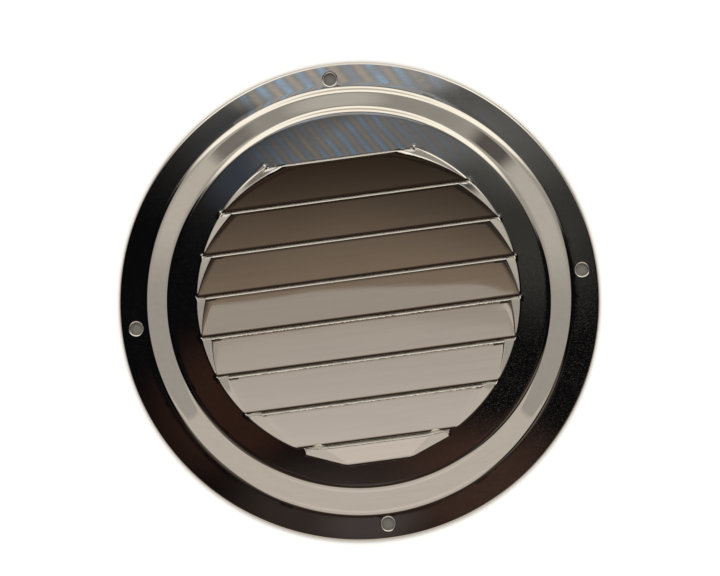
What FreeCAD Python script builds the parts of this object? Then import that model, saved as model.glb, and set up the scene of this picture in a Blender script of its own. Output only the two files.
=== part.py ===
import FreeCAD, Part
import math
import os
import Sketcher

# Round louvred vent cover, pressed and lanced from one disc of sheet metal.
# Frame in mm: the back of the flange lies on z = 0 round the origin, +Z leaves the
# visible face, and +Y is the way that the louvres open. Slopes are in degrees.
NODE = "louvred_cover"
SIZES = [
    ("sheet_thickness", 1.0),
    ("cover_diameter", 127.0),
    ("flange_width", 6.5),
    ("rim_round", 0.65),
    ("step_rise", 4.6),
    ("step_slope", 40.0),
    ("crown_bend_radius", 2.5),
    ("foot_bend_radius", 3.5),
    ("hole_count", 4),
    ("hole_diameter", 3.5),
    ("hole_edge_distance", 4.3),
    ("plateau_width", 6.9),
    ("first_slit_inset", 4.95),
    ("slit_gap", 0.25),
    ("louvre_pitch", 10.6),
    ("louvre_rise", 2.2),
    ("louvre_land", 0.45),
    ("louvre_end_slope", 40.0),
    ("last_louvre_reach", 0.45),
    ("last_end_inset", 0.4),
    ("last_bend_share", 0.43),
    ("shortest_louvre", 4.0),
]

# Places that follow from the sizes, as the expressions that bind them.
SHEET = "sizes.sheet_thickness"
STEP_SLOPE = "(sizes.step_slope * 1deg)"
END_SLOPE = "(sizes.louvre_end_slope * 1deg)"
CROWN_BACK = "sizes.step_rise"
CROWN_TOP = f"({CROWN_BACK} + {SHEET})"
FOOT_CENTRE = "(sizes.cover_diameter / 2 - sizes.flange_width)"
BENDS = f"(sizes.crown_bend_radius + sizes.foot_bend_radius + {SHEET})"
STEP_RUN = f"({BENDS} * tan({STEP_SLOPE} / 2) + sizes.step_rise / tan({STEP_SLOPE}))"
CROWN_CENTRE = f"({FOOT_CENTRE} - {STEP_RUN})"
FIELD = f"({CROWN_CENTRE} - sizes.plateau_width)"
FIRST_SLIT = f"({FIELD} - sizes.first_slit_inset)"
LAST_BEND = f"({FIELD} + sizes.last_louvre_reach)"
LOUVRED_RUN = f"({FIRST_SLIT} + {LAST_BEND})"
FULL_LOUVRES = f"floor(({LOUVRED_RUN} - sizes.shortest_louvre) / sizes.louvre_pitch)"
LAST_SLIT = f"({FIRST_SLIT} - {FULL_LOUVRES} * sizes.louvre_pitch)"
SLAT_SLOPE = "asin(sizes.louvre_rise / (sizes.louvre_pitch - sizes.louvre_land))"
LAST_SLOPE = f"asin(sizes.louvre_rise / ({LAST_SLIT} + {LAST_BEND}))"
BACK_INSET = f"({SHEET} * tan({END_SLOPE} / 2))"

# The last louvre's outline is an arc through the ends of its slit and of its bend.
LAST_HALF = f"(sqrt({FIELD} ^ 2 - {LAST_SLIT} ^ 2) - sizes.last_end_inset)"
BEND_HALF = f"({LAST_HALF} * sizes.last_bend_share)"
ENDS_APART = f"({LAST_HALF} ^ 2 - {BEND_HALF} ^ 2 + {LAST_SLIT} ^ 2 - {LAST_BEND} ^ 2)"
LAST_CENTRE = f"({ENDS_APART} / (2 * ({LAST_SLIT} + {LAST_BEND})))"
LAST_ROUND = f"sqrt({LAST_HALF} ^ 2 + ({LAST_SLIT} - {LAST_CENTRE}) ^ 2)"

CAP = "(2 * sizes.louvre_rise)"
FIELD_CLEAR = f"(1.5 * {FIELD})"
HALF_SHEET = f"({SHEET} / 2)"
BELOW = f"({CROWN_BACK} - {SHEET})"
UNDER = f"({CROWN_BACK} - 0.75 * {SHEET})"

doc = FreeCAD.newDocument(NODE)
sheet = doc.addObject("Spreadsheet::Sheet", "sizes")
for row, (alias, number) in enumerate(SIZES, start=1):
    sheet.set(f"A{row}", alias)
    sheet.set(f"B{row}", str(number))
    sheet.setAlias(f"B{row}", alias)
doc.recompute()


def value(expression):
    """Number that an expression gives with the sheet's sizes."""
    return float(sheet.evalExpression(expression))


def sketch_on(body, role, name, height=None):
    """Empty sketch on one of the body's own origin planes, lifted by an expression."""
    plane = next(item for item in body.Origin.OriginFeatures if item.Role == role)
    sketch = body.newObject("Sketcher::SketchObject", name)
    sketch.AttachmentSupport = [(plane, "")]
    sketch.MapMode = "FlatFace"
    if height:
        sketch.setExpression("AttachmentOffset.Base.z", height)
    return sketch


def drive(sketch, name, expression, *constraint):
    """Dimension in a sketch, named and bound to an expression."""
    index = sketch.addConstraint(Sketcher.Constraint(*constraint, value(expression)))
    sketch.renameConstraint(index, name)
    sketch.setExpression(f"Constraints.{name}", expression)


def circle(sketch, radius, across="0"):
    """Circle on the sketch's X axis, at a bound distance from its origin."""
    centre = FreeCAD.Vector(value(across), 0, 0)
    ring = sketch.addGeometry(Part.Circle(centre, FreeCAD.Vector(0, 0, 1), value(radius)))
    sketch.addConstraint(Sketcher.Constraint("PointOnObject", ring, 3, -1))
    drive(sketch, "across", across, "DistanceX", -1, 1, ring, 3)
    drive(sketch, "radius", radius, "Radius", ring)


def outline(sketch, corners):
    """Closed outline of straight lines through corners given as pairs of expressions."""
    points = [FreeCAD.Vector(value(across), value(up), 0) for across, up in corners]
    for start, end in zip(points, points[1:] + points[:1]):
        sketch.addGeometry(Part.LineSegment(start, end))
    for index, (across, up) in enumerate(corners):
        before = (index - 1) % len(corners)
        sketch.addConstraint(Sketcher.Constraint("Coincident", before, 2, index, 1))
        drive(sketch, f"across_{index}", across, "DistanceX", -1, 1, index, 1)
        drive(sketch, f"up_{index}", up, "DistanceY", -1, 1, index, 1)


def pad(body, sketch, length, symmetric=False):
    feature = body.newObject("PartDesign::Pad", f"{sketch.Name}_pad")
    feature.Profile = sketch
    if symmetric:
        feature.SideType = "Symmetric"
    feature.setExpression("Length", length)
    return feature


def row_of(body, feature, sketch, count):
    """Copies of a feature down the louvred field, one louvre pitch apart."""
    pattern = body.newObject("PartDesign::LinearPattern", f"{feature.Name}_row")
    pattern.Originals = [feature]
    pattern.Direction = (sketch, ["H_Axis"])
    pattern.Reversed = True
    pattern.Mode = "Spacing"
    pattern.setExpression("Offset", "sizes.louvre_pitch")
    pattern.setExpression("Occurrences", count)
    body.Tip = pattern
    return pattern


def turn(body, kind, sketch):
    """Full turn of a sketch about the cover's axis, added or cut away."""
    feature = body.newObject(f"PartDesign::{kind}", f"{sketch.Name}_turned")
    feature.Profile = sketch
    feature.ReferenceAxis = (sketch, ["V_Axis"])
    feature.Angle = 360
    body.Tip = feature
    return feature


def disc_section(body):
    """Section of the sheet: flange, two bends, sloped wall and plateau, one thickness throughout."""
    sketch = sketch_on(body, "XZ_Plane", "disc_section")
    slope = math.radians(value("sizes.step_slope"))
    thick = value(SHEET)
    crown_inside = value("sizes.crown_bend_radius")
    crown_outside = crown_inside + thick
    foot_inside = value("sizes.foot_bend_radius")
    foot_outside = foot_inside + thick
    rim = value("sizes.cover_diameter / 2")
    crown_back = value(CROWN_BACK)
    crown_top = value(CROWN_TOP)
    crown = FreeCAD.Vector(value(CROWN_CENTRE), crown_back - crown_inside, 0)
    foot = FreeCAD.Vector(value(FOOT_CENTRE), thick + foot_inside, 0)
    normal = FreeCAD.Vector(math.sin(slope), math.cos(slope), 0)
    up = math.pi / 2
    axis = FreeCAD.Vector(0, 0, 1)

    def line(x_0, y_0, x_1, y_1):
        return Part.LineSegment(FreeCAD.Vector(x_0, y_0, 0), FreeCAD.Vector(x_1, y_1, 0))

    def arc(centre, radius, start):
        return Part.ArcOfCircle(Part.Circle(centre, axis, radius), start, start + slope)

    convex = up - slope
    concave = -up - slope
    wall_high = crown + normal * crown_outside
    wall_low = foot - normal * foot_inside
    back_high = crown + normal * crown_inside
    back_low = foot - normal * foot_outside
    plateau_top = sketch.addGeometry(line(0, crown_top, crown.x, crown_top))
    crown_bend = sketch.addGeometry(arc(crown, crown_outside, convex))
    wall_top = sketch.addGeometry(Part.LineSegment(wall_high, wall_low))
    foot_bend = sketch.addGeometry(arc(foot, foot_inside, concave))
    flange_top = sketch.addGeometry(line(foot.x, thick, rim, thick))
    edge = sketch.addGeometry(line(rim, thick, rim, 0))
    flange_back = sketch.addGeometry(line(rim, 0, foot.x, 0))
    foot_back = sketch.addGeometry(arc(foot, foot_outside, concave))
    wall_back = sketch.addGeometry(Part.LineSegment(back_low, back_high))
    crown_hollow = sketch.addGeometry(arc(crown, crown_inside, convex))
    plateau_back = sketch.addGeometry(line(crown.x, crown_back, 0, crown_back))
    centre_line = sketch.addGeometry(line(0, crown_back, 0, crown_top))

    tangents = [
        (plateau_top, 2, crown_bend, 2),
        (crown_bend, 1, wall_top, 1),
        (wall_top, 2, foot_bend, 1),
        (foot_bend, 2, flange_top, 1),
        (flange_back, 2, foot_back, 2),
        (foot_back, 1, wall_back, 1),
        (wall_back, 2, crown_hollow, 1),
        (crown_hollow, 2, plateau_back, 1),
    ]
    corners = [
        (flange_top, 2, edge, 1),
        (edge, 2, flange_back, 1),
        (plateau_back, 2, centre_line, 1),
        (centre_line, 2, plateau_top, 1),
        (crown_bend, 3, crown_hollow, 3),
        (foot_bend, 3, foot_back, 3),
    ]
    for ends in tangents:
        sketch.addConstraint(Sketcher.Constraint("Tangent", *ends))
    for ends in corners:
        sketch.addConstraint(Sketcher.Constraint("Coincident", *ends))
    for level in (plateau_top, flange_top, flange_back, plateau_back):
        sketch.addConstraint(Sketcher.Constraint("Horizontal", level))
    for upright in (edge, centre_line):
        sketch.addConstraint(Sketcher.Constraint("Vertical", upright))
    sketch.addConstraint(Sketcher.Constraint("PointOnObject", centre_line, 1, -2))
    sketch.addConstraint(Sketcher.Constraint("PointOnObject", edge, 2, -1))
    drive(sketch, "rim", "sizes.cover_diameter / 2", "DistanceX", -1, 1, edge, 2)
    drive(sketch, "thickness", SHEET, "DistanceY", edge, 2, edge, 1)
    drive(sketch, "foot", FOOT_CENTRE, "DistanceX", -1, 1, foot_bend, 3)
    drive(sketch, "foot_radius", "sizes.foot_bend_radius", "Radius", foot_bend)
    drive(sketch, "crown", CROWN_CENTRE, "DistanceX", -1, 1, crown_bend, 3)
    drive(sketch, "crown_hollow", "sizes.crown_bend_radius", "Radius", crown_hollow)
    drive(sketch, "crown_radius", f"sizes.crown_bend_radius + {SHEET}", "Radius", crown_bend)
    drive(sketch, "rise", CROWN_BACK, "DistanceY", -1, 1, centre_line, 1)
    return sketch


def pressed_disc():
    """Pressed disc with its rounded rim and screw holes, before the louvres are lanced."""
    body = doc.addObject("PartDesign::Body", "pressed_disc")
    disc = turn(body, "Revolution", disc_section(body))
    doc.recompute()
    rim = value("sizes.cover_diameter / 2")
    edges = [
        f"Edge{index}"
        for index, edge in enumerate(disc.Shape.Edges, start=1)
        if edge.BoundBox.ZMin > value(HALF_SHEET)
        and edge.BoundBox.XMax > rim - value(HALF_SHEET)
        and edge.BoundBox.ZLength < value(HALF_SHEET)
    ]
    rounded = body.newObject("PartDesign::Fillet", "rolled_rim")
    rounded.Base = (disc, edges)
    rounded.setExpression("Radius", f"min(sizes.rim_round; 0.9 * {SHEET})")
    doc.recompute()
    mark = sketch_on(body, "XY_Plane", "hole_mark")
    circle(mark, "sizes.hole_diameter / 2", "sizes.cover_diameter / 2 - sizes.hole_edge_distance")
    hole = body.newObject("PartDesign::Pocket", "screw_hole")
    hole.Profile = mark
    hole.Type = "ThroughAll"
    hole.Reversed = True
    holes = body.newObject("PartDesign::PolarPattern", "screw_holes")
    holes.Originals = [hole]
    holes.Axis = (mark, ["N_Axis"])
    holes.Angle = 360
    holes.setExpression("Occurrences", "sizes.hole_count")
    body.Tip = holes
    return body


def slat_places(slit, bend, slope):
    """Bound places across and up one louvre: its bend, the corner of its free edge, the back of each."""
    free_back = f"({slit} - sizes.slit_gap)"
    free_top = f"({free_back} - {SHEET} * sin({slope}))"
    rise = f"(({free_top} - {bend}) * tan({slope}))"
    free_up = f"({CROWN_TOP} + {rise})"
    free_back_up = f"({free_up} - {SHEET} * cos({slope}))"
    bend_back = f"({bend} + {SHEET} * tan({slope} / 2))"
    return free_top, free_up, free_back, free_back_up, bend_back


FULL = (FIRST_SLIT, f"({FIRST_SLIT} - sizes.louvre_pitch + sizes.louvre_land)", SLAT_SLOPE)
LAST = (LAST_SLIT, f"(-1 * {LAST_BEND})", LAST_SLOPE)
WIDTH = f"(2 * {FIELD})"


def floor_disc(body, name, radius, height):
    """Thin disc that joins the louvre forms of one body into one solid."""
    sketch = sketch_on(body, "XY_Plane", name, height)
    circle(sketch, radius)
    pad(body, sketch, HALF_SHEET)


def trim(body, name, corners, centre=None):
    """Cut away all outside an outline turned about the cover's axis, or about one beside it."""
    sketch = sketch_on(body, "XZ_Plane", name, centre)
    outline(sketch, corners)
    turn(body, "Groove", sketch)


def trim_ends(body, radius, floor, level, centre=None):
    """Cut louvres to a round outline, with ends that slope up from its edge at one level."""
    trim(body, f"{body.Name}_ends", [
        (radius, floor),
        (radius, level),
        (f"{radius} - {CAP} / tan({END_SLOPE})", f"{level} + {CAP}"),
        (FIELD_CLEAR, f"{level} + {CAP}"),
        (FIELD_CLEAR, floor),
    ], centre)


def top_corners(slit, bend, slope):
    """Section of a louvre's outer form."""
    free_top, free_up, free_back, free_back_up, _ = slat_places(slit, bend, slope)
    middle = f"({CROWN_BACK} + {HALF_SHEET})"
    return [
        (bend, middle),
        (bend, CROWN_TOP),
        (free_top, free_up),
        (free_back, free_back_up),
        (free_back, middle),
    ]


def hollow_corners(slit, bend, slope):
    """Section of the hollow under a louvre, one sheet thickness inside it and open at the slit."""
    _, _, free_back, free_back_up, bend_back = slat_places(slit, bend, slope)
    return [
        (bend_back, UNDER),
        (bend_back, CROWN_BACK),
        (free_back, free_back_up),
        (slit, free_back_up),
        (slit, UNDER),
    ]


def full_louvres(name, corners, radius, join_height, floor, level):
    """Row of full louvres, joined by a thin disc and cut to the round field."""
    body = doc.addObject("PartDesign::Body", name)
    floor_disc(body, f"{name}_floor", radius, join_height)
    section = sketch_on(body, "YZ_Plane", f"{name}_section")
    outline(section, corners)
    row_of(body, pad(body, section, WIDTH, symmetric=True), section, FULL_LOUVRES)
    trim_ends(body, radius, floor, level)
    return body


def last_louvre(name, corners, radius, floor, level):
    """Last, shorter louvre, cut to an arc that runs out of the field."""
    body = doc.addObject("PartDesign::Body", name)
    section = sketch_on(body, "YZ_Plane", f"{name}_section")
    outline(section, corners)
    pad(body, section, WIDTH, symmetric=True)
    trim_ends(body, radius, floor, level, f"-1 * {LAST_CENTRE}")
    return body


def louvre_tops():
    """Outer forms of the full louvres and of the last one."""
    join_height = f"{CROWN_BACK} + {SHEET} / 4"
    full = full_louvres("tops", top_corners(*FULL), FIELD, join_height, CROWN_BACK, CROWN_TOP)
    return full, last_louvre("last_top", top_corners(*LAST), LAST_ROUND, CROWN_BACK, CROWN_TOP)


def louvre_hollows():
    """Hollows under the full louvres and under the last one."""
    inner = f"({FIELD} - {BACK_INSET})"
    last_inner = f"({LAST_ROUND} - {BACK_INSET})"
    floor = f"({BELOW} - {SHEET})"
    full = full_louvres("hollows", hollow_corners(*FULL), inner, BELOW, floor, CROWN_BACK)
    return full, last_louvre("last_hollow", hollow_corners(*LAST), last_inner, floor, CROWN_BACK)


def slits():
    """Narrow cuts that part each louvre from the sheet above it, out to the edge of the field."""
    body = doc.addObject("PartDesign::Body", "slits")
    above = f"({CROWN_TOP} + {HALF_SHEET})"
    floor_disc(body, "slits_floor", FIELD, BELOW)
    slot = sketch_on(body, "YZ_Plane", "slot")
    inner = f"({FIRST_SLIT} - sizes.slit_gap)"
    outline(slot, [(inner, UNDER), (inner, above), (FIRST_SLIT, above), (FIRST_SLIT, UNDER)])
    row_of(body, pad(body, slot, WIDTH, symmetric=True), slot, f"{FULL_LOUVRES} + 1")
    trim(body, "slot_ends", [
        (FIELD, f"{BELOW} - {SHEET}"),
        (FIELD, f"{above} + {SHEET}"),
        (FIELD_CLEAR, f"{above} + {SHEET}"),
        (FIELD_CLEAR, f"{BELOW} - {SHEET}"),
    ])
    return body


def joined(kind, name, base, tool):
    feature = doc.addObject(f"Part::{kind}", name)
    feature.Base = base
    feature.Tool = tool
    feature.Refine = True
    return feature


cover = pressed_disc()
for form in louvre_tops():
    cover = joined("Fuse", f"raised_{form.Name}", cover, form)
for form in (*louvre_hollows(), slits()):
    cover = joined("Cut", f"cut_{form.Name}", cover, form)
cover.Label = NODE
doc.recompute()

for item in doc.Objects:
    if "Invalid" in item.State or "Error" in item.State:
        raise RuntimeError(f"{item.Name} did not build: {item.State}")
shape = cover.Shape
if shape.isNull() or not shape.isValid() or len(shape.Solids) != 1:
    raise RuntimeError(f"{NODE} is not one valid solid")
os.makedirs("parts", exist_ok=True)
shape.exportStep(f"parts/{NODE}.step")
print(NODE, "volume", round(shape.Volume, 1), "faces", len(shape.Faces), shape.BoundBox)
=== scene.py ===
"""Round louvred vent cover, pressed from one disc of polished stainless sheet."""

import math

import bmesh
import bpy
from bpy.props import FloatProperty, FloatVectorProperty, IntProperty, PointerProperty
from bpy.types import Operator, Panel, PropertyGroup
from mathutils import Matrix, Vector, noise


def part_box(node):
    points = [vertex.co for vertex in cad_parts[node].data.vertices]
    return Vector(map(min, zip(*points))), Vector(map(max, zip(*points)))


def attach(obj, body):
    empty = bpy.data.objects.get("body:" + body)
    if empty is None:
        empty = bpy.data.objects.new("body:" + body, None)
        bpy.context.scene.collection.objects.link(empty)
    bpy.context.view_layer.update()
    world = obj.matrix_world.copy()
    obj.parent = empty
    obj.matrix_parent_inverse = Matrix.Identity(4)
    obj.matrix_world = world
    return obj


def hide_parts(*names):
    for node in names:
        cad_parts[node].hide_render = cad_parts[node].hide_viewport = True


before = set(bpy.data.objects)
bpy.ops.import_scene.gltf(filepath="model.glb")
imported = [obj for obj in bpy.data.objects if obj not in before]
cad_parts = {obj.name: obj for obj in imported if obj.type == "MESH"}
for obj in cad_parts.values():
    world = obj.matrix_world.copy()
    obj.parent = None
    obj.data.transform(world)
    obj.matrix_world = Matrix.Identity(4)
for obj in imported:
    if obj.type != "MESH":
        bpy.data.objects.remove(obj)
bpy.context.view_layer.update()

bl_info = {
    "name": "Round Louvred Vent Cover",
    "version": (1, 0, 0),
    "blender": (4, 5, 0),
    "location": "View3D > Sidebar > Vent Cover",
    "description": "Builds a round pressed vent cover with lanced louvres, and its stage",
    "category": "Object",
}

NODE = "louvred_cover"
COVER_LOW, COVER_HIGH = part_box(NODE)
MM = 0.001


def length(label, says, default, low=0.0):
    """Length that a user may change, in metres."""
    return FloatProperty(
        name=label, description=says, default=default, min=low, unit="LENGTH", precision=5
    )


def slope(label, says, degrees):
    """Angle that a user may change."""
    return FloatProperty(
        name=label, description=says, default=math.radians(degrees), subtype="ANGLE"
    )


def colour(label, says, default):
    """Linear colour that a user may change."""
    return FloatVectorProperty(
        name=label, description=says, default=default, size=3, min=0.0, subtype="COLOR"
    )


def factor(label, says, default):
    """Share from 0 to 1 that a user may change."""
    return FloatProperty(
        name=label, description=says, default=default, min=0.0, max=1.0, subtype="FACTOR"
    )


class VENT_PG_sizes(PropertyGroup):
    """Driving sizes of the pressed sheet."""

    diameter: length("Diameter", "Outside of the flange", COVER_HIGH.x - COVER_LOW.x)
    sheet: length("Sheet", "Thickness of the metal", 1.0 * MM)
    flange: length("Flange", "Flat width of the flange", 6.5 * MM)
    rise: length("Rise", "Height of the step, back to back", 4.6 * MM)
    step_slope: slope("Step slope", "Slope of the wall between flange and plateau", 39.0)
    crown_bend: length("Crown bend", "Inside radius of the bend up to the plateau", 2.5 * MM)
    foot_bend: length("Foot bend", "Inside radius of the bend up from the flange", 3.5 * MM)
    plateau: length("Plateau", "Flat width round the louvred field", 6.77 * MM)
    hole: length("Hole", "Diameter of the screw holes", 3.2 * MM)
    hole_edge: length("Hole from edge", "Middle of a screw hole from the rim", 4.3 * MM)
    hole_count: IntProperty(name="Holes", description="Screw holes", default=4, min=1)
    first_slit: length("First slit", "First slit from the field's edge", 4.95 * MM)
    pitch: length("Pitch", "Distance from slit to slit", 10.6 * MM)
    louvres: IntProperty(name="Louvres", description="Full louvres", default=7, min=1)
    louvre_rise: length("Louvre rise", "Lift of a louvre's free edge", 2.2 * MM)
    land: length("Land", "Flat strip between a slit and the next louvre's fold", 0.45 * MM)
    end_slope: slope("End slope", "Slope of the closed ends of a louvre", 40.0)
    last_reach: length("Last reach", "Fold of the last louvre past the field", 0.45 * MM)
    last_fold: length("Last fold", "Length of the last louvre's fold", 16.2 * MM)
    last_inset: length("Last inset", "Ends of the last slit from the field's edge", 1.1 * MM)
    last_nose: length("Last nose", "Blunt ends of the last louvre", 1.3 * MM)
    last_end_slope: slope("Last end slope", "Slope of the last louvre's ends", 43.0)
    gap: length("Gap", "Opening that a slit leaves in the flat sheet", 0.25 * MM)


class VENT_PG_finish(PropertyGroup):
    """Look of the polished metal."""

    steel: colour("Steel", "Polished stainless", (0.62, 0.595, 0.56))
    sheared: colour("Sheared steel", "Torn metal on the cut edges", (0.60, 0.575, 0.54))
    gloss: factor("Roughness", "Of the polished faces", 0.02)
    dust: factor("Dust", "How far dust and scuffs dull the polish", 0.09)


class VENT_PG_stage(PropertyGroup):
    """Floor, light tent and camera."""

    floor: colour("Floor", "Pale floor", (0.86, 0.86, 0.85))
    white: FloatProperty(name="White", description="Glow that makes the floor white", default=0.6)
    reach: length("Reach", "Radius of the floor and the light tent", 12.0)
    camera_distance: length("Camera distance", "Camera from the cover's middle", 0.450)
    camera_lens: FloatProperty(name="Lens", description="Focal length in mm", default=85.3)
    camera_tilt: slope("Camera tilt", "Camera from straight above, towards the viewer", 4.7)
    camera_side: slope("Camera side", "Camera from straight above, towards the right", 0.89)
    camera_roll: slope("Camera roll", "Turn of the cover in the picture", 7.5)


# Widest rounding of a crease, as a share of the two heights that meet there.
WIDEST_CREASE = 0.8


def eased_ramp(run, half):
    """Ramp that leaves zero along a run, rounded over a half width on both sides of its start."""
    if run <= -half:
        return 0.0
    if run >= half:
        return run
    return (run + half) ** 2 / (4 * half)


def eased_min(first, second, rounding):
    """Lower of two heights, with the crease between them rounded."""
    width = min(rounding, WIDEST_CREASE * (first + second))
    apart = abs(first - second)
    lower = min(first, second)
    if apart >= width:
        return lower
    return lower - (width - apart) ** 2 / (4 * width)


def clamped(number):
    """Number held between 0 and 1."""
    return min(max(number, 0.0), 1.0)


class Pressing:
    """Places on the pressed sheet that follow from its sizes."""

    # Half widths of the rounding at a slat's fold and at the foot of its closed ends, and the
    # width of the rounding at the hip, where slat and end meet.
    FOLD_HALF = 0.32 * MM
    FOOT_HALF = 0.25 * MM
    HIP_BLEND = 0.12 * MM
    # How far in from the hip a slat sags, and by what share of its height.
    SHOULDER = 1.6 * MM
    SHOULDER_SHARE = 0.03
    # Rounding of the last louvre's blunt ends.
    NOSE_BLEND = 1.0 * MM
    # Run below a slit over which a louvre's foot sets in on the field's edge, and run in from
    # that edge over which a slit opens.
    SLIT_END_FADE = 0.6 * MM
    END_RUN = 2.9 * MM
    # Nearness that counts as lying on an edge.
    ON_EDGE = 1e-7

    def __init__(self, size):
        self.size = size
        self.rim = size.diameter / 2
        self.top = size.rise + size.sheet
        self.crown_bend = size.crown_bend + size.sheet
        bends = self.crown_bend + size.foot_bend
        run = bends * math.tan(size.step_slope / 2) + size.rise / math.tan(size.step_slope)
        self.foot = self.rim - size.flange
        self.crown = self.foot - run
        self.field = self.crown - size.plateau
        self.first = self.field - size.first_slit
        self.slits = [self.first - size.pitch * row for row in range(size.louvres + 1)]
        self.slat_slope = math.asin(size.louvre_rise / (size.pitch - size.land))
        self.last_fold = -(self.field + size.last_reach)
        self.last_slope = math.asin(size.louvre_rise / (self.slits[-1] - self.last_fold))
        corner = Vector((self.slit_half(self.slits[-1]), self.slits[-1] - size.last_nose))
        side = (corner - Vector((size.last_fold / 2, self.last_fold))).normalized()
        self.last_corner = corner
        self.last_out = Vector((side.y, -side.x))
        hole_ring = self.rim - size.hole_edge
        turns = [math.tau * step / size.hole_count for step in range(size.hole_count)]
        self.hole_places = [
            Vector((math.cos(turn), math.sin(turn), 0)) * hole_ring for turn in turns
        ]

    def half_width(self, across):
        """Half the field's width at a distance from its middle."""
        return math.sqrt(max(self.field**2 - across**2, 0.0))

    def slit_half(self, slit):
        """Half the length of a slit."""
        inset = self.size.last_inset if slit == self.slits[-1] else 0.0
        return self.half_width(slit) - inset

    def louvre_of(self, across):
        """Number of the louvre at a place down the field, -1 above the first slit."""
        return min(math.floor((self.first - across) / self.size.pitch), self.size.louvres)

    def fold_of(self, louvre):
        """Place and slope of a louvre's lower fold."""
        if louvre == self.size.louvres:
            return self.last_fold, self.last_slope
        return self.slits[louvre + 1] + self.size.land, self.slat_slope

    def height(self, louvre, x, y):
        """Height of a louvre's top over the plateau."""
        if louvre < 0:
            return 0.0
        fold, tilt = self.fold_of(louvre)
        slat = math.tan(tilt) * eased_ramp(y - fold, self.FOLD_HALF)
        radius = math.hypot(x, y)
        climb = math.tan(self.size.end_slope)
        inside = self.field - radius
        if louvre == self.size.louvres:
            climb = math.tan(self.size.last_end_slope)
            side = (self.last_corner - Vector((abs(x), y))).dot(self.last_out)
            inside = eased_min(side, self.last_corner.x - abs(x), self.NOSE_BLEND)
        if radius > self.field - self.ON_EDGE:
            slat *= clamped((self.slits[louvre] - y) / self.SLIT_END_FADE)
        end = climb * eased_ramp(inside, self.FOOT_HALF)
        past_hip = inside - slat / climb
        slat *= 1 - self.SHOULDER_SHARE * clamped(1 - past_hip / self.SHOULDER) ** 2
        return eased_min(slat, end, self.HIP_BLEND)

    def raised(self, louvre, x, y):
        """Place and height of a point of the flat sheet after its louvre is pressed up."""
        if louvre < 0:
            return y, 0.0
        slit = self.slits[louvre]
        fold, tilt = self.fold_of(louvre)
        low = max(fold, -self.half_width(x)) if louvre == self.size.louvres else fold
        inside = self.field - math.hypot(x, y)
        if inside > self.ON_EDGE:
            back_off = self.size.gap + self.size.sheet * math.sin(tilt)
            back_off = min(back_off * clamped(inside / self.END_RUN), (slit - low) / 2)
            y -= back_off * clamped((y - low) / (slit - low))
        return y, self.height(louvre, x, y)


# Rows of a full louvre in mm up from its lower slit. The rows of the last louvre and of the cap
# over the first slit are shares of the way from their slit to the field's edge. Columns are
# shares of the field's half width, counted in from its edge.
LOUVRE_ROWS = [
    0.0, 0.22, 0.4, 0.6, 0.85, 1.1, 1.4, 1.8, 2.3, 2.9, 3.5, 4.1, 4.7, 5.3, 5.9, 6.5, 7.1, 7.7,
    8.3, 8.9, 9.6, 10.6
]
LAST_ROWS = [0.0, 0.2, 0.28, 0.36, 0.44, 0.52, 0.6, 0.68, 0.76, 0.84, 0.9, 0.95, 1.0]
CAP_ROWS = [0.0, 0.06, 0.14, 0.25, 0.4, 0.55, 0.7, 0.82, 0.92, 1.0]
EDGE_STEPS = [
    0.0, 0.003, 0.006, 0.009, 0.0125, 0.016, 0.02, 0.0245, 0.029, 0.034, 0.039, 0.044, 0.049,
    0.054, 0.059, 0.064, 0.069, 0.074, 0.08, 0.087, 0.095, 0.105, 0.118, 0.134, 0.152, 0.17
]
MIDDLE_STEP = 0.035
# Corners of the grid that lie this near each other are joined.
GRID_JOIN = 0.001 * MM


def column_places():
    """Places across the field from -1 to 1, close together near its edges."""
    middle = round((1 - EDGE_STEPS[-1]) / MIDDLE_STEP)
    right = [1 - step for step in EDGE_STEPS]
    right += [(1 - EDGE_STEPS[-1]) * (1 - step / middle) for step in range(1, middle)]
    return [-place for place in right] + [0.0] + right[::-1]


def row_places(form):
    """Rows from the field's bottom to its top, as the part of the field and the place in it."""
    rows = [("last", share) for share in LAST_ROWS[::-1]]
    scale = form.size.pitch / LOUVRE_ROWS[-1]
    for slit in form.slits[:0:-1]:
        rows += [("full", slit + row * scale) for row in LOUVRE_ROWS[1:]]
    return rows + [("cap", share) for share in CAP_ROWS[1:]]


def lay_field(bm, form):
    """Flat grid over the round field, with a row of edges along each slit."""
    columns = column_places()
    rows = row_places(form)
    grid = bmesh.ops.create_grid(
        bm, x_segments=len(columns) - 1, y_segments=len(rows) - 1, size=1.0
    )
    for vert in grid["verts"]:
        column = round((vert.co.x + 1) / 2 * (len(columns) - 1))
        row = round((vert.co.y + 1) / 2 * (len(rows) - 1))
        part, place = rows[row]
        share = columns[column]
        if part == "full":
            vert.co = (share * form.half_width(place), place, form.top)
            continue
        slit = form.slits[0] if part == "cap" else form.slits[-1]
        x = share * form.half_width(slit)
        arc = math.copysign(form.half_width(x), slit)
        vert.co = (x, slit + place * (arc - slit), form.top)
    bmesh.ops.remove_doubles(bm, verts=bm.verts[:], dist=GRID_JOIN)


# Loops of the ring from the field outwards: in mm past the field's edge, as shares of the
# plateau, as steps of each bend, as shares of the step's wall, as shares of the flange where the
# screw holes lie, and in mm in from the rim.
FIELD_LOOPS = (0.2, 0.45, 0.75, 1.1, 1.5, 1.9, 2.4)
PLATEAU_LOOPS = (0.5, 0.7, 0.9, 1.0)
BEND_STEPS = 8
WALL_LOOPS = (0.33, 0.67)
HOLE_LOOPS = (0.16, 0.32, 0.5, 0.7)
RIM_LOOPS = (1.6, 0.85, 0.0)


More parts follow.
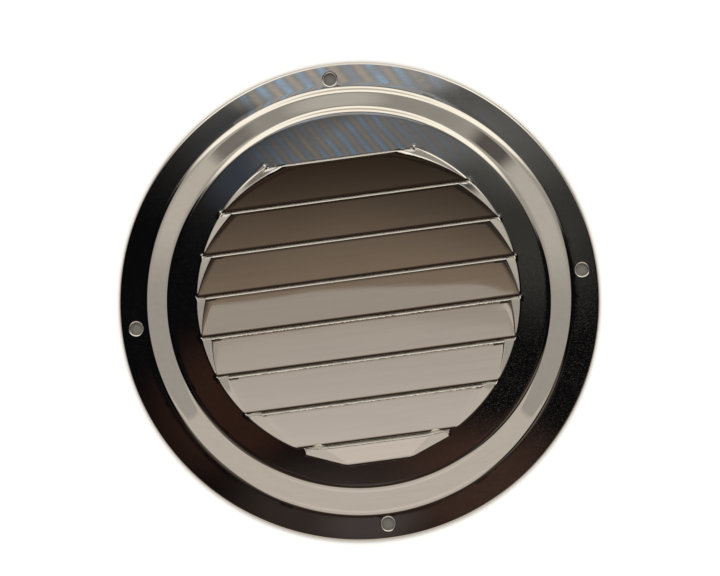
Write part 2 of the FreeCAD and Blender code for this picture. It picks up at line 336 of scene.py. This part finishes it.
def profile(form):
    """Radius and height of the sheet's top from the field's edge out to the rim."""
    size = form.size
    loops = [(form.field + step * MM, form.top) for step in FIELD_LOOPS]
    loops += [(form.field + share * size.plateau, form.top) for share in PLATEAU_LOOPS]
    for step in range(1, BEND_STEPS + 1):
        turn = size.step_slope * step / BEND_STEPS
        drop = form.crown_bend * (1 - math.cos(turn))
        loops.append((form.crown + form.crown_bend * math.sin(turn), form.top - drop))
    foot_bend = []
    for step in range(BEND_STEPS + 1):
        turn = size.step_slope * (1 - step / BEND_STEPS)
        lift = size.foot_bend * (1 - math.cos(turn))
        foot_bend.append((form.foot - size.foot_bend * math.sin(turn), size.sheet + lift))
    start, end = Vector(loops[-1]), Vector(foot_bend[0])
    loops += [tuple(start.lerp(end, share)) for share in WALL_LOOPS]
    loops += foot_bend
    loops += [(form.foot + share * size.flange, size.sheet) for share in HOLE_LOOPS]
    loops += [(form.rim - inset * MM, size.sheet) for inset in RIM_LOOPS]
    return loops


def draw_to(bm, edges, middle, radius, height):
    """Extrude open edges onto a circle round a middle. Gives the new open edges."""
    made = bmesh.ops.extrude_edge_only(bm, edges=edges)["geom"]
    for vert in (item for item in made if isinstance(item, bmesh.types.BMVert)):
        out = (vert.co.to_2d() - middle).normalized() * radius
        vert.co = (middle.x + out.x, middle.y + out.y, height)
    edges = [item for item in made if isinstance(item, bmesh.types.BMEdge)]
    return [edge for edge in edges if edge.is_boundary]


def draw_ring(bm, form):
    """Carry the field's round edge outwards over plateau, step and flange."""
    edges = [edge for edge in bm.edges if edge.is_boundary]
    for radius, height in profile(form):
        edges = draw_to(bm, edges, Vector((0, 0)), radius, height)


# Flat round the mouth of a screw hole, how far past it the opened patch reaches, and how many
# hole widths round a hole are searched for that patch.
HOLE_FLAT = 0.5 * MM
HOLE_MARGIN = 0.1 * MM
HOLE_SEARCH = 2


def punch_holes(bm, form):
    """Screw holes in the flange, each drawn in from the edge of an opened patch."""
    reach = form.foot + HOLE_LOOPS[-1] * form.size.flange
    mouth = form.size.hole / 2 + HOLE_FLAT
    for place in form.hole_places:
        along = Vector((-place.y, place.x, 0)).normalized()
        patch = []
        for face in bm.faces:
            middle = face.calc_center_median()
            near = (middle - place).length < HOLE_SEARCH * form.size.hole
            if near and form.foot < middle.to_2d().length < reach:
                beside = min(abs((vert.co - place).dot(along)) for vert in face.verts)
                if beside < mouth + HOLE_MARGIN:
                    patch.append(face)
        opened = set(patch)
        ring = [
            edge for face in patch for edge in face.edges
            if not opened.issuperset(edge.link_faces)
        ]
        bmesh.ops.delete(bm, geom=patch, context="FACES")
        split = bmesh.ops.subdivide_edges(bm, edges=ring, cuts=1)["geom_split"]
        ring = dict.fromkeys(item for item in split if isinstance(item, bmesh.types.BMEdge))
        ring = [edge for edge in ring if edge.is_boundary]
        for flat in (HOLE_FLAT, 0.0):
            radius = form.size.hole / 2 + flat
            ring = draw_to(bm, ring, place.to_2d(), radius, form.size.sheet)


# How far past a slit's end its edges are still parted.
SLIT_OVERRUN = 0.03 * MM


def lance(bm, form):
    """Part the sheet along each slit and press the louvres up out of it."""
    cuts = []
    for slit in form.slits:
        half = form.slit_half(slit) + SLIT_OVERRUN
        for edge in bm.edges:
            ends = [vert.co for vert in edge.verts]
            if all(abs(end.y - slit) < form.ON_EDGE and abs(end.x) < half for end in ends):
                cuts.append(edge)
    bmesh.ops.split_edges(bm, edges=cuts)
    pressed = []
    for vert in bm.verts:
        radius = vert.co.to_2d().length
        if radius > form.crown:
            continue
        across = vert.co.y - form.ON_EDGE
        if radius < form.field - form.ON_EDGE:
            faces = vert.link_faces
            across = sum(face.calc_center_median().y for face in faces) / len(faces)
        pressed.append((vert, *form.raised(form.louvre_of(across), vert.co.x, vert.co.y)))
    for vert, y, height in pressed:
        vert.co.y = y
        vert.co.z += height


WAVE_DEPTH = 0.008 * MM
WAVE_SCALE = 60.0
BURR = 0.10 * MM
BURR_REACH = 0.55 * MM


def settle(bm, form):
    """Slight waves that pressing leaves in the sheet, and the burrs at the ends of the slits."""
    full = form.slits[:-1]
    ends = [Vector((side * form.half_width(slit), slit)) for slit in full for side in (-1, 1)]
    for vert in bm.verts:
        place = vert.co.to_2d()
        vert.co.z += WAVE_DEPTH * (1 + noise.noise(vert.co * WAVE_SCALE))
        if form.field <= place.length < form.crown:
            away = min((place - end).length for end in ends) / BURR_REACH
            vert.co.z += BURR * math.exp(-(away**2))


# Lean and raggedness of the louvres' cut faces, the scale of that raggedness, and the run in
# from the field's edge over which both set in.
SHEARED_LEAN = 0.14 * MM
RAGGED = 0.09 * MM
RAGGED_SCALE = 1300.0
LEAN_RUN = 4 * MM
# How near the rim an edge is the rim's own, and how far short of the field's edge rolls end.
RIM_NEAR = 0.1 * MM
ROLL_END = 0.6 * MM
# Reach and segments of the rounding of each kind of edge.
ROLL = {
    "rim": (0.8 * MM, 6),
    "holes": (0.46 * MM, 5),
    "free": (0.34 * MM, 5),
    "lips": (0.15 * MM, 3),
}
# Corners this near each other lie on one spot.
ONE_SPOT = 0.00002 * MM


def thicken(bm, form):
    """Give the sheet its thickness on the back. Gives the edges to round by kind."""
    bmesh.ops.recalc_face_normals(bm, faces=bm.faces[:])
    front = set(bm.faces)
    bmesh.ops.solidify(bm, geom=bm.faces[:], thickness=form.size.sheet)
    rolled = {kind: [] for kind in ROLL}
    leaning = set()
    for edge in bm.edges:
        tops = [face for face in edge.link_faces if face in front]
        if len(edge.link_faces) != 2 or len(tops) != 1:
            continue
        wall = next(face for face in edge.link_faces if face not in front)
        middle = (edge.verts[0].co + edge.verts[1].co) / 2
        radius = middle.to_2d().length
        if radius > form.rim - RIM_NEAR:
            rolled["rim"].append(edge)
            continue
        if radius > form.crown:
            rolled["holes"].append(edge)
            continue
        wall.material_index = 1
        free = tops[0].calc_center_median().y < middle.y
        if free:
            leaning |= set(wall.verts) - set(edge.verts)
        if radius < form.field - ROLL_END:
            rolled["free" if free else "lips"].append(edge)
    for vert in leaning:
        share = clamped((form.field - vert.co.to_2d().length) / LEAN_RUN)
        torn = RAGGED * noise.noise(vert.co * RAGGED_SCALE)
        vert.co.y += (SHEARED_LEAN + torn) * share
    return rolled


def soften(bm, rolled):
    """Round the rim, the holes, and the louvres' free edges and lips."""
    for kind, edges in rolled.items():
        offset, segments = ROLL[kind]
        bmesh.ops.bevel(
            bm, geom=edges, offset=offset, offset_type="OFFSET", affect="EDGES",
            segments=segments, profile=0.5, material=-1, clamp_overlap=False,
        )
    # Corners that the rounding left on one spot are joined, so that the sheet is closed.
    bmesh.ops.remove_doubles(bm, verts=bm.verts[:], dist=ONE_SPOT)


def mesh_object(name, bm, *materials):
    """Object from a finished bmesh, in the scene."""
    mesh = bpy.data.meshes.new(name)
    bm.to_mesh(mesh)
    bm.free()
    for material in materials:
        mesh.materials.append(material)
    made = bpy.data.objects.new(name, mesh)
    bpy.context.scene.collection.objects.link(made)
    return made


def fill(tree, socket, value):
    """Feed an input from an output socket, a number, a vector or a colour."""
    if isinstance(value, bpy.types.NodeSocket):
        tree.links.new(value, socket)
    else:
        socket.default_value = (*value, 1.0) if socket.type == "RGBA" else value


def feed(tree, node, **inputs):
    """Feed inputs of a node by name. Gives the node."""
    for name, value in inputs.items():
        fill(tree, node.inputs[name.replace("_", " ")], value)
    return node


def add_node(tree, kind, **inputs):
    """New shader node with some of its inputs fed."""
    return feed(tree, tree.nodes.new(f"ShaderNode{kind}"), **inputs)


def maths(tree, operation, *values):
    """Maths node on sockets or numbers. Gives its output socket."""
    node = tree.nodes.new("ShaderNodeMath")
    node.operation = operation
    for socket, value in zip(node.inputs, values):
        fill(tree, socket, value)
    return node.outputs[0]


def vectors(tree, operation, *values, scale=None):
    """Vector maths node on sockets or vectors. Gives its output socket."""
    node = tree.nodes.new("ShaderNodeVectorMath")
    node.operation = operation
    for socket, value in zip(node.inputs, values):
        fill(tree, socket, value)
    if scale is not None:
        feed(tree, node, Scale=scale)
    single = operation in ("LENGTH", "DOT_PRODUCT")
    return node.outputs["Value" if single else "Vector"]


def eased(tree, value, low, high, at_low, at_high):
    """Smooth step of a socket between two limits, its ends numbers or sockets. Gives a socket."""
    node = tree.nodes.new("ShaderNodeMapRange")
    node.interpolation_type = "SMOOTHSTEP"
    feed(tree, node, Value=value, From_Min=low, From_Max=high, To_Min=at_low, To_Max=at_high)
    return node.outputs["Result"]


def blend(tree, share, under, over):
    """Mix of two colours, each a socket or a value, by a socket. Gives its output socket."""
    node = tree.nodes.new("ShaderNodeMix")
    node.data_type = "RGBA"
    feed(tree, node, Factor=share)
    for name, value in (("A", under), ("B", over)):
        socket = next(item for item in node.inputs if item.name == name and item.type == "RGBA")
        fill(tree, socket, value)
    return next(item for item in node.outputs if item.type == "RGBA")


def object_place(tree):
    """Place on the object. Gives a socket."""
    return tree.nodes.new("ShaderNodeTexCoord").outputs["Object"]


def apart(tree, place):
    """The X, Y and Z of a place, as sockets by name."""
    return add_node(tree, "SeparateXYZ", Vector=place).outputs


def noise_of(tree, place, scale, detail=2.0):
    """Noise from 0 to 1. Gives a socket."""
    return add_node(tree, "TexNoise", Vector=place, Scale=scale, Detail=detail).outputs["Fac"]


def grain(tree, place, kind, at_most):
    """Noise of a scale, stretched from a range to zero and an upper share. Gives a socket."""
    scale, low, high = kind
    return eased(tree, noise_of(tree, place, scale), low, high, 0.0, at_most)


def bumps(tree, place, scale, strength, depth):
    """Bumps of a noise. Gives a normal socket."""
    height = noise_of(tree, place, scale)
    bump = add_node(tree, "Bump", Strength=strength, Distance=depth, Height=height)
    return bump.outputs["Normal"]


def new_material(name):
    """New material and its node tree."""
    material = bpy.data.materials.new(name)
    material.use_nodes = True
    return material, material.node_tree


# Leaves the height out of a place.
FLAT = (1.0, 1.0, 0.0)

# Grains of the polish, each with its scale and the range of noise that is used, and how far they
# are drawn out along the louvres.
WIPES = (700.0, 0.35, 0.7)
STREAKS = (2600.0, 0.45, 0.75)
SCUFFS = (6500.0, 0.48, 0.75)
STREAK_DRAW = (0.06, 1.0, 1.0)
SCUFF_DRAW = (0.4, 1.0, 1.0)
# Darkest wiped tone as a share of the steel's, and roughness that a streak adds.
WIPED_TONE = 0.94
STREAK_ROUGHNESS = 0.02

# Patches that dust lies in, the share of it between them, the run from left to right over which
# it grows, its share at the left, and the runs over which it sets in at the step and the field.
PATCH_SCALE = 45.0
PATCH_RANGE = (0.35, 0.65)
DUST_BETWEEN = 0.3
DUST_RUN = (-20 * MM, 45 * MM)
DUST_LEFT = 0.25
STEP_MARGIN = 1 * MM
FIELD_INSIDE, FIELD_OUTSIDE = 0.5 * MM, 1.5 * MM

# Torn strip below a slit, where it ends up the cover and towards the slits' ends, and its bumps.
TORN_STRIP = (0.72 * MM, 0.86 * MM)
TORN_UPPER = (-2 * MM, 2 * MM)
TORN_INSET, TORN_END = 3 * MM, 1.5 * MM
TORN_SCALE = 1600.0
TORN_DEPTH = 0.2 * MM

# Upright ridges on the cut faces.
RIDGE_DRAW = (1.0, 0.3, 0.3)
RIDGE_SCALE = 2200.0
RIDGE_DEPTH = 0.04 * MM
SHEARED_ROUGHNESS = 0.4


def dust_share(tree, form, place, x, out, patches):
    """Dust and scuffs on plateau and flange, more of it in patches and to the right."""
    wall = (form.crown + form.foot) / 2
    wall_half = (form.foot - form.crown) / 2
    from_wall = maths(tree, "ABSOLUTE", maths(tree, "SUBTRACT", out, wall))
    off_wall = eased(tree, from_wall, wall_half - STEP_MARGIN, wall_half, 0.0, 1.0)
    inner, outer = form.field - FIELD_INSIDE, form.field + FIELD_OUTSIDE
    flats = eased(tree, out, inner, outer, 0.0, off_wall)
    rightward = eased(tree, x, *DUST_RUN, DUST_LEFT, 1.0)
    patchy = eased(tree, patches, *PATCH_RANGE, DUST_BETWEEN, 1.0)
    dust = grain(tree, vectors(tree, "MULTIPLY", place, SCUFF_DRAW), SCUFFS, 1.0)
    for share in (patchy, flats, rightward):
        dust = maths(tree, "MULTIPLY", dust, share)
    return dust


def torn_edges(tree, form, place, y, out):
    """Ragged strip below each slit of the cover's lower half. Gives a normal socket."""
    down = maths(tree, "SUBTRACT", form.first, y)
    below_slit = maths(tree, "FLOORED_MODULO", down, form.size.pitch)
    inside = eased(tree, out, form.field - TORN_INSET, form.field - TORN_END, 1.0, 0.0)
    lower = eased(tree, y, *TORN_UPPER, inside, 0.0)
    torn = eased(tree, below_slit, *TORN_STRIP, lower, 0.0)
    return bumps(tree, place, TORN_SCALE, torn, TORN_DEPTH)


def polished_stainless(form, finish):
    """Polished sheet with wiped bands and streaks, dust on its flats and torn slit edges."""
    material, tree = new_material("polished_stainless")
    place = object_place(tree)
    axes = apart(tree, place)
    out = vectors(tree, "LENGTH", vectors(tree, "MULTIPLY", place, FLAT))
    patches = noise_of(tree, place, PATCH_SCALE)
    along = vectors(tree, "MULTIPLY", place, STREAK_DRAW)
    wiped_steel = tuple(WIPED_TONE * part for part in finish.steel)
    dust = dust_share(tree, form, place, axes["X"], out, patches)
    dust = maths(tree, "MULTIPLY", dust, finish.dust)
    streaks = grain(tree, along, STREAKS, STREAK_ROUGHNESS)
    feed(
        tree, tree.nodes["Principled BSDF"],
        Base_Color=blend(tree, grain(tree, along, WIPES, patches), finish.steel, wiped_steel),
        Metallic=maths(tree, "SUBTRACT", 1.0, dust),
        Roughness=maths(tree, "ADD", maths(tree, "ADD", streaks, dust), finish.gloss),
        Normal=torn_edges(tree, form, place, axes["Y"], out),
    )
    return material


def sheared_stainless(finish):
    """Torn metal of the slits' cut faces, with upright ridges."""
    material, tree = new_material("sheared_stainless")
    ridges = vectors(tree, "MULTIPLY", object_place(tree), RIDGE_DRAW)
    feed(
        tree, tree.nodes["Principled BSDF"],
        Base_Color=finish.sheared,
        Metallic=1.0,
        Roughness=SHEARED_ROUGHNESS,
        Normal=bumps(tree, ridges, RIDGE_SCALE, 1.0, RIDGE_DEPTH),
    )
    return material


class VENT_OT_cover(Operator):
    """Press the cover from one disc, lance its louvres and polish it"""

    bl_idname = "vent.cover"
    bl_label = "Make Cover"

    def execute(self, context):
        form = Pressing(context.scene.vent_sizes)
        finish = context.scene.vent_finish
        bm = bmesh.new()
        lay_field(bm, form)
        draw_ring(bm, form)
        punch_holes(bm, form)
        lance(bm, form)
        settle(bm, form)
        soften(bm, thicken(bm, form))
        polished = polished_stainless(form, finish)
        cover = mesh_object("vent_cover", bm, polished, sheared_stainless(finish))
        cover.data.shade_smooth()
        cover.modifiers.new("even_shading", "WEIGHTED_NORMAL").mode = "FACE_AREA"
        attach(cover, "root")
        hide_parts(NODE)
        return {"FINISHED"}


# What the polished metal mirrors, laid over each other in this order: a patch's middle and half
# size in degrees from straight up to the right and away, the softness of its edge and its
# colour, with a second colour for its near side where that differs.
SURROUND = (0.50, 0.465, 0.42)
BLACK = (0.004, 0.004, 0.005)
PATCHES = [
    # Pale sides, which the step and the louvres' ends mirror.
    ((-11.5, -75), (78, 75), 0.02, (0.72, 0.655, 0.59), (0.76, 0.69, 0.62)),
    ((-65, 60), (34, 28), 0.6, (0.72, 0.67, 0.60)),
    ((80, 35), (28, 28), 0.6, (0.68, 0.64, 0.57)),
    ((4, 84), (72, 16), 0.25, (0.42, 0.40, 0.36)),
    ((4, 92), (45, 5), 0.4, (0.66, 0.63, 0.57)),
    ((62, 62), (9, 9), 0.5, (0.14, 0.13, 0.12)),
    ((-44, 77), (9, 9), 0.5, (0.27, 0.25, 0.23)),
    # Window behind, and a pale front.
    ((5, 44), (32, 30), 0.12, (1.55, 1.48, 1.32)),
    ((4, 44), (14, 8), 0.5, (0.80, 0.72, 0.60)),
    ((0, -48), (30, 10), 0.5, (0.87, 0.785, 0.715)),
    # Dark overhead with faint tones in it, which the flats mirror.
    ((-29, 0), (21, 25), 0.1, BLACK),
    ((29, -9), (21, 21), 0.1, BLACK),
    ((-1, -5), (24, 11.5), 0.06, BLACK, (0.05, 0.034, 0.025)),
    ((-1, 4), (22, 9), 0.25, BLACK),
    ((2.5, 13), (8, 7.5), 0.5, (0.30, 0.29, 0.27), (0.02, 0.02, 0.02)),
    ((-4.0, 9.9), (1.6, 1.7), 0.6, (0.055, 0.065, 0.085)),
    ((5.6, 7.0), (2.4, 3.2), 0.6, (0.05, 0.05, 0.047)),
    ((5.2, 10.5), (2.4, 2.4), 0.6, (0.13, 0.13, 0.125)),
    ((-5.8, 1.6), (2.4, 2.2), 0.5, (0.038, 0.018, 0.012)),
    ((2.0, -2.0), (3.1, 1.8), 0.5, (0.06, 0.032, 0.024)),
    ((-3.0, -2.2), (3.0, 1.4), 0.6, (0.045, 0.034, 0.03)),
    ((-1.5, -3.0), (1.6, 0.8), 0.6, (0.085, 0.068, 0.066)),
    # Dark and pale bands towards the front, which the slats mirror.
    ((0, -17.65), (24, 3.2), 0.04, (0.025, 0.015, 0.010), (0.30, 0.23, 0.17)),
    ((-20, -16.5), (9, 3.5), 0.6, BLACK),
    ((12.5, -16.5), (9, 3.5), 0.6, BLACK),
    ((-30, -17), (16, 4), 0.6, (0.17, 0.14, 0.115)),
    ((27, -16.5), (16, 4), 0.6, (0.17, 0.14, 0.115)),
    ((-3, -22.4), (12, 1.4), 0.05, (0.49, 0.435, 0.375)),
    ((-5, -20.92), (9.4, 1.1), 0.03, (0.48, 0.43, 0.375)),
    ((-3, -31.1), (18, 10), 0.03, (0.57, 0.515, 0.455), (0.77, 0.705, 0.65)),
    ((-4, -27), (14, 3.5), 0.8, (0.77, 0.705, 0.65)),
]

# Stripes of daylight and lamplight, in two ovals given as patches are. They are narrower and
# fainter low down, where the plateau mirrors them, than higher up, where the flange does.
STRIPES_AT = (((0.7, 9.9), (3.9, 1.25), 0.4), ((0.2, 12.3), (4.2, 1.0), 0.3))
STRIPE_GREY = (0.165, 0.167, 0.17)
STRIPE_BLUE = (0.21, 0.32, 0.46)
STRIPE_TAN = (0.29, 0.255, 0.21)
STRIPE_ACROSS = (0.83, 0.55, 0.0)
STRIPE_STEP = 0.68
STRIPES_LOW, STRIPES_HIGH = 11.1, 11.6
STRIPE_NARROWING = 1.6
STRIPE_GAIN = 2.1
# How far the stripes drift, and the scales of the noises that shift and fade them.
STRIPE_DRIFT = 4.0
DRIFT_SCALE = 22.0
FADE_SCALE = 40.0
STRIPE_DETAIL = 1.0
# Range of the fading noise and the faintest blue, degrees to the right over which all stripes
# fade, with their share there, and the heights of the wave at which tan and blue begin and end.
FADE_RANGE = (0.3, 0.6)
FAINTEST = 0.25
RIGHT_END = 3.5
RIGHT_SHARE = 0.3
TAN_WAVE = (-0.2, -1.0)
BLUE_WAVE = (0.1, 1.0)


def tent_patch(tree, sky, middle, half, soft):
    """Share of one soft oval patch of the tent. Gives its output socket."""
    from_middle = vectors(tree, "SUBTRACT", sky, tuple(math.radians(at) for at in (*middle, 0)))
    spread = tuple(1 / math.radians(at) for at in half)
    out = vectors(tree, "LENGTH", vectors(tree, "MULTIPLY", from_middle, (*spread, 0.0)))
    return eased(tree, out, 1 - soft, 1 + soft, 1.0, 0.0)


def tent_stripes(tree, sky, away):
    """Slanted stripes of daylight and lamplight. Gives their colour socket."""
    low, high = math.radians(STRIPES_LOW), math.radians(STRIPES_HIGH)
    across = vectors(tree, "DOT_PRODUCT", sky, STRIPE_ACROSS)
    turns = maths(tree, "MULTIPLY", across, math.tau / math.radians(STRIPE_STEP))
    narrow = eased(tree, away["Y"], low, high, STRIPE_NARROWING, 1.0)
    turns = maths(tree, "MULTIPLY", turns, narrow)
    drift = noise_of(tree, sky, DRIFT_SCALE, STRIPE_DETAIL)
    drift = maths(tree, "MULTIPLY", drift, STRIPE_DRIFT)
    wave = maths(tree, "SINE", maths(tree, "ADD", turns, drift))
    right = eased(tree, away["X"], 0.0, math.radians(RIGHT_END), 1.0, RIGHT_SHARE)
    fading = noise_of(tree, sky, FADE_SCALE, STRIPE_DETAIL)
    faint = eased(tree, fading, *FADE_RANGE, FAINTEST, right)
    tint = blend(tree, eased(tree, wave, *TAN_WAVE, 0.0, right), STRIPE_GREY, STRIPE_TAN)
    tint = blend(tree, eased(tree, wave, *BLUE_WAVE, 0.0, faint), tint, STRIPE_BLUE)
    gain = eased(tree, away["Y"], low, high, 1.0, STRIPE_GAIN)
    return vectors(tree, "SCALE", tint, scale=gain)


def tent_material():
    """Light tent: dark overhead, pale round the sides, a bright window behind."""
    material, tree = new_material("light_tent")
    tree.nodes.clear()
    place = object_place(tree)
    from_top = maths(tree, "ARCCOSINE", apart(tree, vectors(tree, "NORMALIZE", place))["Z"])
    around = vectors(tree, "NORMALIZE", vectors(tree, "MULTIPLY", place, FLAT))
    sky = vectors(tree, "SCALE", around, scale=from_top)
    away = apart(tree, sky)
    glow = SURROUND
    for middle, half, soft, tint, *near in PATCHES:
        if near:
            low, high = (math.radians(middle[1] + half[1] * side) for side in (-1, 1))
            tint = blend(tree, eased(tree, away["Y"], low, high, 0.0, 1.0), *near, tint)
        glow = blend(tree, tent_patch(tree, sky, middle, half, soft), glow, tint)
    stripes = tent_stripes(tree, sky, away)
    striped = maths(tree, "MAXIMUM", *(tent_patch(tree, sky, *patch) for patch in STRIPES_AT))
    lamp = add_node(tree, "Emission", Color=blend(tree, striped, glow, stripes))
    add_node(tree, "OutputMaterial", Surface=lamp.outputs[0])
    return material


WHITE = (1.0, 1.0, 1.0)
FLOOR_ROUGHNESS = 0.9
# Tone of the floor under the cover as a share of its own, which is painted shade, and the run
# across the cover's rim over which it clears. The floor's glow fades over the same run, which
# paints a thin contact shadow round the rim.
PAINTED_SHADE_TONE = 0.4
SHADE_INSIDE, SHADE_OUTSIDE = 1.5 * MM, 1 * MM


def floor_material(stage):
    """Pale floor, white to the camera and in mirrors, that keeps the cover's shadow, with painted
    shade in its colour under the cover and round its rim.
    """
    material, tree = new_material("pale_floor")
    path = tree.nodes.new("ShaderNodeLightPath").outputs
    seen = maths(tree, "MAXIMUM", path["Is Camera Ray"], path["Is Glossy Ray"])
    seen = maths(tree, "MAXIMUM", seen, path["Is Transmission Ray"])
    out = vectors(tree, "LENGTH", object_place(tree))
    inner, outer = COVER_HIGH.x - SHADE_INSIDE, COVER_HIGH.x + SHADE_OUTSIDE
    # Share that clears the painted shade under the cover and lets the floor glow; it also fades
    # the glow just past the rim as a painted contact shadow.
    clear = eased(tree, out, inner, outer, 0.0, 1.0)
    # Painted shade: the floor's own colour is darkened under the cover, so the floor seen through
    # the holes and slits looks shaded.
    under = tuple(PAINTED_SHADE_TONE * part for part in stage.floor)
    feed(
        tree, tree.nodes["Principled BSDF"],
        Base_Color=blend(tree, clear, under, stage.floor),
        Roughness=FLOOR_ROUGHNESS,
        Specular_IOR_Level=0.0,
        Emission_Color=WHITE,
        Emission_Strength=maths(
            tree, "MULTIPLY", maths(tree, "MULTIPLY", seen, clear), stage.white
        ),
    )
    return material


ROUND_SEGMENTS = 96
TENT_BANDS = 48
# Lowest height of the tent, as a share of its radius.
TENT_LOW = -0.01


def make_floor(stage):
    """Round floor that the cover lies on."""
    bm = bmesh.new()
    bmesh.ops.create_circle(bm, cap_ends=True, radius=stage.reach, segments=ROUND_SEGMENTS)
    return mesh_object("floor", bm, floor_material(stage))


def make_tent(stage):
    """Half sphere of light over the floor, which the camera doesn't see."""
    bm = bmesh.new()
    bmesh.ops.create_uvsphere(
        bm, u_segments=ROUND_SEGMENTS, v_segments=TENT_BANDS, radius=stage.reach
    )
    below = [vert for vert in bm.verts if vert.co.z < TENT_LOW * stage.reach]
    bmesh.ops.delete(bm, geom=below, context="VERTS")
    bmesh.ops.reverse_faces(bm, faces=bm.faces[:])
    tent = mesh_object("light_tent", bm, tent_material())
    tent.data.shade_smooth()
    tent.visible_camera = False
    return tent


SENSOR_WIDTH = 36.0
CLIP_START = 0.01
# Width of the picture, and how far left of and below its middle the cover's lies, in pixels.
PICTURE_WIDTH = 720
MIDDLE_LEFT = 1.25
MIDDLE_DOWN = 11.35


def make_camera(stage):
    """Camera nearly straight above, with the cover turned a little in the picture."""
    lens = bpy.data.cameras.new("camera")
    lens.lens = stage.camera_lens
    lens.sensor_width = SENSOR_WIDTH
    lens.sensor_fit = "HORIZONTAL"
    lens.shift_x = MIDDLE_LEFT / PICTURE_WIDTH
    lens.shift_y = MIDDLE_DOWN / PICTURE_WIDTH
    lens.clip_start = CLIP_START
    camera = bpy.data.objects.new("camera", lens)
    bpy.context.scene.collection.objects.link(camera)
    side = math.sin(stage.camera_side)
    tilt = -math.sin(stage.camera_tilt)
    back = Vector((side, tilt, math.sqrt(1 - side**2 - tilt**2)))
    across = Vector((0, 1, 0)).cross(back).normalized()
    up = back.cross(across)
    turn = Matrix.Rotation(-stage.camera_roll, 3, back)
    axes = Matrix((turn @ across, turn @ up, back)).transposed()
    camera.matrix_world = Matrix.Translation(back * stage.camera_distance) @ axes.to_4x4()
    return camera


class VENT_OT_stage(Operator):
    """Lay the floor, put the light tent round it and set the camera"""

    bl_idname = "vent.stage"
    bl_label = "Make Stage"

    def execute(self, context):
        stage = context.scene.vent_stage
        make_floor(stage)
        make_tent(stage)
        world = bpy.data.worlds.new("white_room")
        world.use_nodes = True
        feed(world.node_tree, world.node_tree.nodes["Background"], Color=WHITE)
        context.scene.world = world
        context.scene.view_settings.view_transform = "Standard"
        context.scene.camera = make_camera(stage)
        return {"FINISHED"}


class VENT_PT_panel(Panel):
    """Sizes, finish and steps of the vent cover"""

    bl_idname = "VENT_PT_panel"
    bl_label = "Vent Cover"
    bl_space_type = "VIEW_3D"
    bl_region_type = "UI"
    bl_category = "Vent Cover"

    def draw(self, context):
        scene = context.scene
        for group in (scene.vent_sizes, scene.vent_finish, scene.vent_stage):
            for name in group.__annotations__:
                self.layout.prop(group, name)
        for step in (VENT_OT_cover, VENT_OT_stage):
            self.layout.operator(step.bl_idname)


CLASSES = (
    VENT_PG_sizes,
    VENT_PG_finish,
    VENT_PG_stage,
    VENT_OT_cover,
    VENT_OT_stage,
    VENT_PT_panel,
)


def register():
    for each in CLASSES:
        bpy.utils.register_class(each)
    bpy.types.Scene.vent_sizes = PointerProperty(type=VENT_PG_sizes)
    bpy.types.Scene.vent_finish = PointerProperty(type=VENT_PG_finish)
    bpy.types.Scene.vent_stage = PointerProperty(type=VENT_PG_stage)


def unregister():
    del bpy.types.Scene.vent_stage
    del bpy.types.Scene.vent_finish
    del bpy.types.Scene.vent_sizes
    for each in reversed(CLASSES):
        bpy.utils.unregister_class(each)


def main():
    register()
    bpy.ops.vent.cover()
    bpy.ops.vent.stage()


if __name__ == "__main__":
    main()
